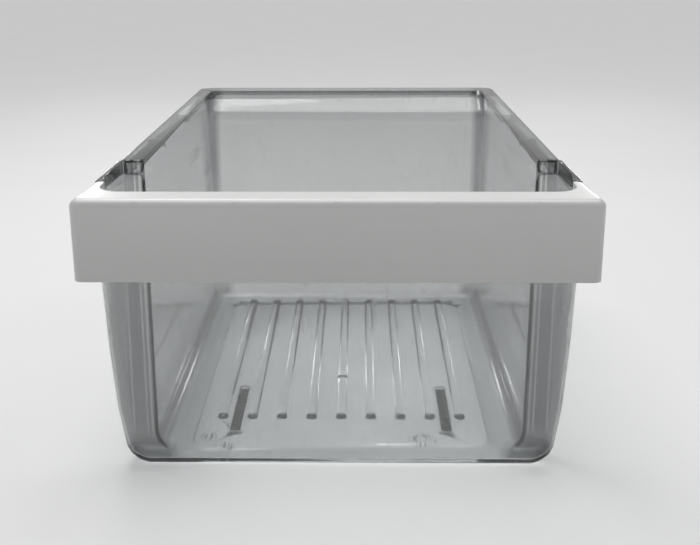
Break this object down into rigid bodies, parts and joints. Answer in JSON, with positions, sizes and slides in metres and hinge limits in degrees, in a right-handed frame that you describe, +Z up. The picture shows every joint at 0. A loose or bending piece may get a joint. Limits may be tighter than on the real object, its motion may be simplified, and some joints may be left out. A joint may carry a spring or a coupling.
{
  "type": "crisper drawer",
  "caption": "Clear refrigerator crisper drawer: stepped tub with side rails and ribbed floor under a pale clipped-on front trim with a finger gap.",
  "frame": {"origin": "centre of the bounding box in plan, at the underside that the drawer rests on", "axes": "+X to the right as seen from the front, +Y from the front trim to the back, +Z up"},
  "size_m": [0.33, 0.42, 0.2053],
  "materials": {
    "clear_plastic": "clear gloss moulding, lightly scuffed",
    "pale_plastic": "satin pale grey moulding"
  },
  "bodies": {
    "root": {"pan": "clear_plastic", "front_trim": "pale_plastic"}
  },
  "joints": []
}
